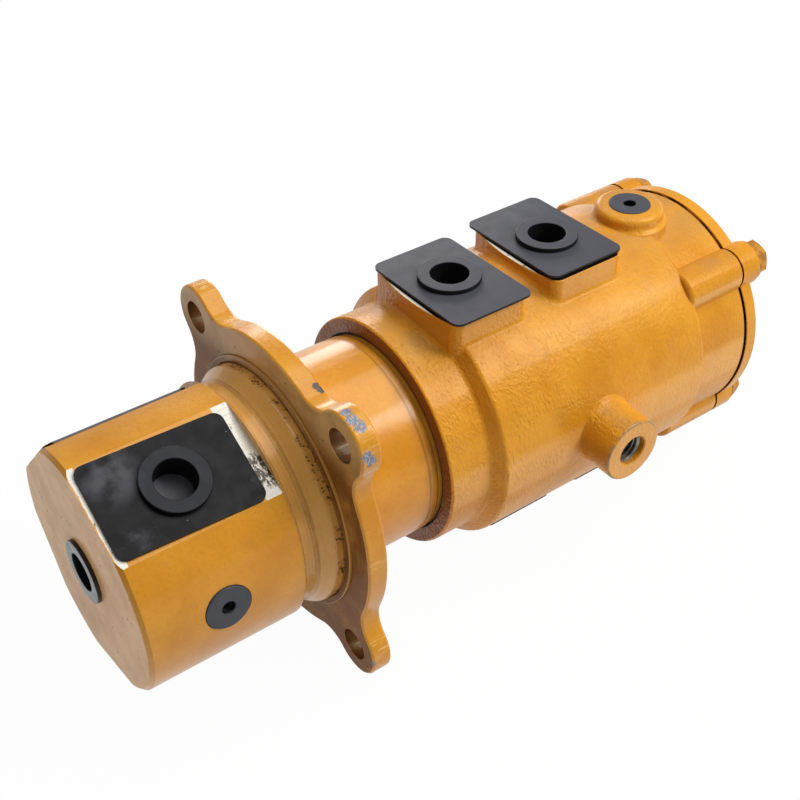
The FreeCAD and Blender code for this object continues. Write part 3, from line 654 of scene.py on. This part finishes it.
def housing_gaps(finish, x, paint):
    """Painted shade in the collar's mouth, and darkness in the joint with the cover."""
    # Painted shade inside the collar's mouth
    inside = finish.band(finish.radius(), COLLAR_MOUTH_RADIUS + 0.0004, COLLAR_MOUTH_RADIUS + 0.0001)
    at_end = finish.band(x, HOUSING_END_X - 0.0004, HOUSING_END_X - 0.0002)
    joint = finish.times(finish.facing(TO_COVER, 0.90, 0.98), at_end)
    joint = finish.times(joint, joint_tone(finish))
    return finish.mix(finish.math("MAXIMUM", inside, joint), paint, GAP_DARK)


def bare_pads(finish, x, paint):
    """Machined pad faces, with painted shadow where a cap lies close over them."""
    facing_up = finish.band(finish.math("ABSOLUTE", finish.along(UP, finish.normal)), 0.80, 0.95)
    height = finish.math("ABSOLUTE", finish.along(UP))
    level = finish.band(height, PAD_HEIGHT - 0.0007, PAD_HEIGHT - 0.0004)
    from_drain = finish.near((DRAIN_BOSS_X, 0.0, PAD_HEIGHT))
    off_boss = finish.band(from_drain, DRAIN_BOSS_REACH - 0.002, DRAIN_BOSS_REACH)
    bare = finish.times(finish.times(facing_up, level), off_boss)
    cap_shadows = []
    for cap in ("upper_port_cap_a", "upper_port_cap_b"):
        start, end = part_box(cap)
        cap_shadows.append(finish.span(x, start.x - CAP_GAP_SHADE, end.x, 0.0004))
    # Painted shadow on the pad faces under the caps
    metal = finish.mix(finish.largest(cap_shadows), machined(finish, 25.0), GAP_DARK)
    return finish.mix(bare, paint, metal)


def worn_stay_boss(finish, surface):
    """Wear on the rim of the stay boss, and a paler tone on its face."""
    from_face = finish.math("ABSOLUTE", finish.math("ADD", finish.along((0.0, 1.0, 0.0)), -STAY_BOSS_FACE_Y))
    from_middle = finish.near((STAY_BOSS_X, STAY_BOSS_FACE_Y, 0.0))
    on_rim = finish.band(from_middle, STAY_BOSS_RADIUS - 0.0016, STAY_BOSS_RADIUS - 0.0008)
    worn = finish.times(finish.band(from_face, 0.0016, 0.0008), on_rim)
    worn = finish.times(worn, finish.patches(0.003, 0.42, 0.5, detail=3.0, seed=28.0))
    surface = finish.mix(finish.times(worn, 0.8), surface, PAINT_WORN_RIM)
    facing_side = finish.facing(TO_STAY, 0.98, 0.995)
    return finish.mix(finish.times(facing_side, 0.25), surface, PAINT_PALE)


def housing_finish():
    """Rough cast paint on the housing, bare pad faces with painted shadow under the caps, painted shade on
    the collar's face and in its mouth, and a dark joint.
    """
    finish = Finish("housing_paint", roughness=CAST_ROUGHNESS, specular_ior_level=PAINT_SPECULAR,
                    specular_tint=GOLDEN, coat_weight=0.11, coat_roughness=0.17)
    x = finish.along(TO_COVER)
    paint = paint_base(finish, 0.0024, 0.00034)
    cast_skin(finish)
    paint = housing_dirt_and_shade(finish, x, paint)
    paint = housing_gaps(finish, x, paint)
    surface = bare_pads(finish, x, paint)
    finish.set("Base Color", worn_stay_boss(finish, surface))
    return finish.finish()


def cover_finish():
    """The same paint on the cover, dark in the joint."""
    finish = Finish("cover_paint", roughness=COVER_ROUGHNESS, specular_ior_level=PAINT_SPECULAR,
                    specular_tint=GOLDEN, coat_weight=0.15, coat_roughness=0.16)
    paint = paint_base(finish, 0.0030, 0.00040)
    x = finish.along(TO_COVER)
    at_start = finish.band(x, HOUSING_END_X + 0.0016, HOUSING_END_X + 0.0012)
    joint = finish.times(finish.facing(TO_HEAD, 0.90, 0.98), at_start)
    seat = finish.band(x, HOUSING_END_X + 0.0009, HOUSING_END_X + 0.0006)
    dark = finish.times(finish.math("MAXIMUM", joint, seat), joint_tone(finish))
    finish.set("Base Color", finish.mix(dark, paint, GAP_DARK))
    return finish.finish()


def bolt_finish():
    """Painted bolts and washers, worn to brown on their edges, and darkened all over by painted shade."""
    finish = Finish("bolt_paint", roughness=BOLT_ROUGHNESS, specular_ior_level=PAINT_SPECULAR,
                    specular_tint=GOLDEN)
    paint = paint_base(finish, 0.0025, 0.00008)
    wear = finish.patches(0.004, 0.42, 0.58, detail=3.0, seed=31.0)
    paint = finish.mix(finish.times(wear, 0.7), paint, BOLT_WORN)
    # Painted shade over a quarter of the bolts' colour
    finish.set("Base Color", finish.mix(0.25, paint, PAINT_SHADED))
    return finish.finish()


def scuffed_plastic(finish, body, scuff):
    """Plastic with cloudy scuffs."""
    cloud = finish.patches(0.024, 0.52, 0.84, detail=5.0, roughness=0.65, seed=41.0)
    return finish.mix(cloud, body, scuff)


def dusted(finish, surface, dust):
    """Scattered grains of dust."""
    grains = finish.band(finish.cells(0.0036, 45.0), 0.10, 0.05)
    return finish.mix(finish.times(grains, dust), surface, PLASTIC_DUST)


def moulded(finish, surface, roughness):
    """Gives plastic its colour, its fine grain and its uneven gloss."""
    finish.set("Base Color", surface)
    finish.raise_by(finish.noise(0.0006, 2.0, seed=42.0), 0.00004)
    uneven = finish.patches(0.008, 0.3, 0.7, detail=3.0, seed=44.0)
    finish.set("Roughness", finish.blend(uneven, roughness - 0.06, roughness + 0.10))
    return finish.finish()


def slipper_finish():
    """Filled plastic of the slipper seals."""
    finish = Finish("slipper_plastic", roughness=0.4, specular_ior_level=0.3)
    return moulded(finish, scuffed_plastic(finish, SLIPPER, SLIPPER_SCUFF), 0.4)


def housing_cap_finish():
    """Charcoal caps of the housing with painted shade on their sides."""
    finish = Finish("charcoal_plastic", roughness=0.45, specular_ior_level=0.3)
    surface = dusted(finish, scuffed_plastic(finish, CHARCOAL, CHARCOAL_SCUFF), 0.3)
    level = finish.band(finish.math("ABSOLUTE", finish.along(UP, finish.normal)), 0.45, 0.80)
    # Painted shade on the caps' sides
    return moulded(finish, finish.mix(level, CHARCOAL_SIDE_SHADE, surface), 0.45)


def head_cap_finish():
    """Black caps of the head with a smudge and painted sheen, a greyer ring, and a recess floor with dust
    and painted light.
    """
    finish = Finish("head_cap_plastic", roughness=0.42, specular_ior_level=0.16)
    # Scuffs that also stand for a painted sheen
    surface = dusted(finish, scuffed_plastic(finish, HEAD_CAP, HEAD_CAP_SCUFF_AND_SHEEN), 0.7)
    floors = []
    rings = []
    for angle in HEAD_FLAT_ANGLES:
        height = finish.along(outward(angle))
        flush = finish.facing(outward(angle), 0.90, 0.97)
        deep = finish.band(height, HEAD_FLAT_HEIGHT - 0.004, HEAD_FLAT_HEIGHT - 0.008)
        floors.append(finish.times(deep, flush))
        high = finish.band(height, HEAD_FLAT_HEIGHT + 0.0030, HEAD_FLAT_HEIGHT + 0.0036)
        rings.append(finish.times(high, flush))
    surface = finish.mix(finish.times(finish.largest(rings), 0.75), surface, HEAD_CAP_RING)
    # A smudge with painted sheen on the first cap
    smudge = finish.patches(0.010, 0.36, 0.62, detail=4.0, seed=49.0)
    smudge = finish.times(smudge, finish.band(finish.near(HEAD_CAP_SMUDGE_AND_SHEEN), 0.020, 0.005))
    surface = finish.mix(finish.times(smudge, 0.6), surface, HEAD_CAP_SCUFF_AND_SHEEN)
    # Dust with painted light on the recess floors
    cloud = finish.patches(0.010, 0.35, 0.65, detail=3.0, seed=48.0)
    dusty_lit_floor = finish.mix(cloud, HEAD_CAP_FLOOR_DUST_AND_LIGHT, HEAD_CAP_SCUFF_AND_SHEEN)
    return moulded(finish, finish.mix(finish.largest(floors), surface, dusty_lit_floor), 0.42)


def plug_hole_places():
    """A place in the small hole of each slate plug."""
    places = []
    for name, direction in (("drain_boss_plug", UP), ("head_drain_plug", outward(HEAD_DRAIN_ANGLE))):
        out = Vector(direction)
        low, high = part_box(name)
        middle = (low + high) / 2
        front = max(vertex.co.dot(out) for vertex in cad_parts[name].data.vertices)
        places.append(middle + out * (front - middle.dot(out) - PLUG_HOLE_DEPTH))
    return places


def slate_finish():
    """Slate-grey round plugs with painted shade in their small hole."""
    finish = Finish("slate_plastic", roughness=0.45, specular_ior_level=0.3)
    surface = scuffed_plastic(finish, SLATE, SLATE_SCUFF)
    holes = []
    for place in plug_hole_places():
        holes.append(finish.band(finish.near(place), PLUG_HOLE_RADIUS + 0.0006, PLUG_HOLE_RADIUS))
    # Painted shade in the small holes
    return moulded(finish, finish.mix(finish.largest(holes), surface, PLUG_HOLE), 0.45)


def axial_plug_finish():
    """Black plug whose flat front ring is painted grey as a painted reflection."""
    finish = Finish("axial_plug_plastic", roughness=0.35)
    front = finish.facing(TO_HEAD, 0.85, 0.97)
    worn = finish.patches(0.004, 0.35, 0.65, detail=3.0, seed=46.0)
    # Painted reflection on the front ring, in two greys
    front_sheen = finish.mix(worn, AXIAL_PLUG_FRONT_SHEEN, AXIAL_PLUG_FRONT_SHEEN_DARK)
    finish.set("Base Color", finish.mix(front, AXIAL_PLUG, front_sheen))
    finish.raise_by(finish.noise(0.0006, 2.0, seed=47.0), 0.00003)
    return finish.finish()


def rubber_finish():
    """Dark seal rubber."""
    finish = Finish("seal_rubber", roughness=0.6)
    finish.set("Base Color", finish.mix(finish.noise(0.003, 2.0), RUBBER, RUBBER_WORN))
    finish.raise_by(finish.noise(0.0008, 2.0, seed=51.0), 0.00004)
    return finish.finish()


def steel_finish():
    """Machined steel with fine turning marks and an oily film."""
    finish = Finish("bare_steel", roughness=0.32, metallic=0.9)
    film = finish.patches(0.005, 0.35, 0.7, detail=3.0, seed=61.0)
    finish.set("Base Color", finish.mix(film, STEEL, STEEL_OILY))
    finish.raise_by(finish.noise(0.0006, 2.0, stretch=(1.0, 60.0, 60.0), seed=62.0), 0.00003)
    return finish.finish()


def bronze_finish():
    """Bronze thrust washers."""
    finish = Finish("bronze", roughness=0.35, metallic=0.9)
    finish.set("Base Color", finish.mix(finish.noise(0.004, 3.0), BRONZE, BRONZE_DULL))
    finish.raise_by(finish.noise(0.0005, 2.0), 0.00002)
    return finish.finish()


def dress_nodes(shaft_paint, steel):
    """Gives every CAD node its finish."""
    bolt_paint = bolt_finish()
    bronze = bronze_finish()
    rubber = rubber_finish()
    slate = slate_finish()
    head_cap = head_cap_finish()
    housing_cap = housing_cap_finish()
    finishes = {
        "shaft": shaft_paint,
        "housing": housing_finish(),
        "cover": cover_finish(),
        "cover_bolts": bolt_paint,
        "cover_washers": bolt_paint,
        "cover_o_ring": rubber,
        "dust_seal": rubber,
        "seal_energizers": rubber,
        "slipper_seals": slipper_finish(),
        "thrust_plate": steel,
        "thrust_plate_bolts": steel,
        "gallery_plugs": steel,
        "front_thrust_washer": bronze,
        "rear_thrust_washer": bronze,
        "drain_boss_plug": slate,
        "head_drain_plug": slate,
        "axial_port_plug": axial_plug_finish(),
    }
    for name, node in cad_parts.items():
        cap_finish = head_cap if name.startswith("head_port_cap") else housing_cap
        node.data.materials.clear()
        node.data.materials.append(finishes.get(name, cap_finish))


def add_piece(name, mesh, finish):
    """Turns a mesh in the making into an object of the scene."""
    bmesh.ops.recalc_face_normals(mesh, faces=mesh.faces)
    data = bpy.data.meshes.new(name)
    mesh.to_mesh(data)
    mesh.free()
    data.materials.append(finish)
    piece = bpy.data.objects.new(name, data)
    bpy.context.scene.collection.objects.link(piece)
    return piece


def stay_hole_thread(finish):
    """The thread in the stay hole, a ridge that winds down its wall."""
    turns = int((STAY_HOLE_DEPTH - 2 * THREAD_START) / THREAD_PITCH)
    last = turns * THREAD_STEPS
    mesh = bmesh.new()
    rows = []
    for i in range(last + 1):
        turn = 2 * math.pi * i / THREAD_STEPS
        fade = min(1.0, i / THREAD_STEPS, (last - i) / THREAD_STEPS)
        centre = STAY_BOSS_FACE_Y + THREAD_START + THREAD_PITCH * i / THREAD_STEPS + THREAD_PITCH / 2
        row = []
        for offset, height in ((-0.48, 0.0), (-0.08, 1.0), (0.08, 1.0), (0.48, 0.0)):
            reach = STAY_HOLE_RADIUS + THREAD_ROOT - (THREAD_DEPTH + THREAD_ROOT) * height * fade
            row.append(mesh.verts.new((STAY_BOSS_X + reach * math.cos(turn),
                                       centre + offset * THREAD_PITCH,
                                       reach * math.sin(turn))))
        rows.append(row)
    for before, after in zip(rows, rows[1:]):
        for k in range(3):
            mesh.faces.new((before[k], before[k + 1], after[k + 1], after[k]))
    piece = add_piece("stay_hole_thread", mesh, finish)
    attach(piece, "housing_body")


def flange_step(finish):
    """The low raised ring round the pilot on the flange's mounting face."""
    inner = PILOT_RADIUS + FLANGE_STEP_GAP
    profile = [(FLANGE_STEP_FLOOR_X, inner)]
    for centre_radius, start in ((inner + FLANGE_STEP_ROUND, 180.0),
                                 (FLANGE_STEP_RADIUS - FLANGE_STEP_ROUND, 90.0)):
        for i in range(FLANGE_STEP_ROUND_SIDES + 1):
            turn = math.radians(start - 90.0 * i / FLANGE_STEP_ROUND_SIDES)
            profile.append((FLANGE_STEP_FACE_X + FLANGE_STEP_ROUND * (1.0 - math.sin(turn)),
                            centre_radius + FLANGE_STEP_ROUND * math.cos(turn)))
    profile.append((FLANGE_STEP_FLOOR_X, FLANGE_STEP_RADIUS))
    mesh = bmesh.new()
    rows = []
    for i in range(FLANGE_STEP_SIDES):
        turn = 2 * math.pi * i / FLANGE_STEP_SIDES
        rows.append([mesh.verts.new((x, -radius * math.sin(turn), radius * math.cos(turn)))
                     for x, radius in profile])
    for before, after in zip(rows, rows[1:] + rows[:1]):
        for k in range(len(profile)):
            following = (k + 1) % len(profile)
            mesh.faces.new((before[k], before[following], after[following], after[k]))
    for face in mesh.faces:
        face.smooth = True
    piece = add_piece("flange_step", mesh, finish)
    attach(piece, "shaft_body")


def make_floor():
    """Pale floor that looks white to the camera and keeps a soft shadow."""
    finish = Finish("floor_white", roughness=0.9)
    grain = finish.noise(0.02, 3.0)
    finish.set("Base Color", finish.mix(grain, (0.80, 0.80, 0.80, 1.0), (0.84, 0.84, 0.84, 1.0)))
    tree = finish.tree
    output = next(node for node in tree.nodes if node.type == "OUTPUT_MATERIAL")
    glow = tree.nodes.new("ShaderNodeEmission")
    glow.inputs["Strength"].default_value = 1.0
    rays = tree.nodes.new("ShaderNodeLightPath")
    to_camera = finish.times(rays.outputs["Is Camera Ray"], FLOOR_WHITE_TO_CAMERA)
    to_gloss = finish.times(rays.outputs["Is Glossy Ray"], FLOOR_WHITE_TO_GLOSS)
    mix = tree.nodes.new("ShaderNodeMixShader")
    tree.links.new(finish.math("MAXIMUM", to_camera, to_gloss), mix.inputs["Fac"])
    tree.links.new(finish.shader.outputs[0], mix.inputs[1])
    tree.links.new(glow.outputs[0], mix.inputs[2])
    tree.links.new(mix.outputs[0], output.inputs["Surface"])
    data = bpy.data.meshes.new("floor")
    half = FLOOR_SIZE / 2
    corners = [(-half, -half, 0.0), (half, -half, 0.0), (half, half, 0.0), (-half, half, 0.0)]
    data.from_pydata(corners, [], [(0, 1, 2, 3)])
    data.materials.append(finish.finish())
    floor = bpy.data.objects.new("floor", data)
    floor.location = (MIDDLE[0], MIDDLE[1], cad_box[0].z)
    bpy.context.scene.collection.objects.link(floor)


def make_world():
    """Even studio surroundings, white to the camera."""
    world = bpy.data.worlds.new("studio")
    bpy.context.scene.world = world
    world.use_nodes = True
    tree = world.node_tree
    back = tree.nodes["Background"]
    rays = tree.nodes.new("ShaderNodeLightPath")
    level = tree.nodes.new("ShaderNodeMix")
    level.inputs["A"].default_value = WORLD_LIGHT
    level.inputs["B"].default_value = 1.0
    tree.links.new(rays.outputs["Is Camera Ray"], level.inputs["Factor"])
    tree.links.new(level.outputs["Result"], back.inputs["Strength"])
    back.inputs["Color"].default_value = (1.0, 1.0, 1.0, 1.0)


def make_lights():
    """A large lamp at the camera's right, one overhead and a weak one behind."""
    for name, place, size, power in LAMPS:
        data = bpy.data.lights.new(name, "AREA")
        data.size = size
        data.energy = power
        lamp = bpy.data.objects.new(name, data)
        lamp.location = place
        lamp.rotation_mode = "QUATERNION"
        lamp.rotation_quaternion = (Vector(MIDDLE) - Vector(place)).to_track_quat("-Z", "Y")
        bpy.context.scene.collection.objects.link(lamp)


def make_camera():
    """The photo's camera."""
    data = bpy.data.cameras.new("camera")
    data.sensor_width = CAMERA_SENSOR
    data.lens = CAMERA_LENS
    data.shift_x, data.shift_y = CAMERA_SHIFT
    data.clip_start = 0.01
    data.clip_end = 50.0
    camera = bpy.data.objects.new("camera", data)
    turn = (Matrix.Rotation(math.radians(CAMERA_AZIMUTH), 4, "Z")
            @ Matrix.Rotation(math.radians(90.0 - CAMERA_ELEVATION), 4, "X")
            @ Matrix.Rotation(math.radians(CAMERA_ROLL), 4, "Z"))
    camera.matrix_world = (Matrix.Translation(CAMERA_AIM) @ turn
                           @ Matrix.Translation((0.0, 0.0, CAMERA_DISTANCE)))
    bpy.context.scene.collection.objects.link(camera)
    bpy.context.scene.camera = camera


shaft_paint = shaft_finish()
steel = steel_finish()
dress_nodes(shaft_paint, steel)
stay_hole_thread(steel)
flange_step(shaft_paint)
make_floor()
make_world()
make_lights()
make_camera()
bpy.context.scene.view_settings.view_transform = "Standard"
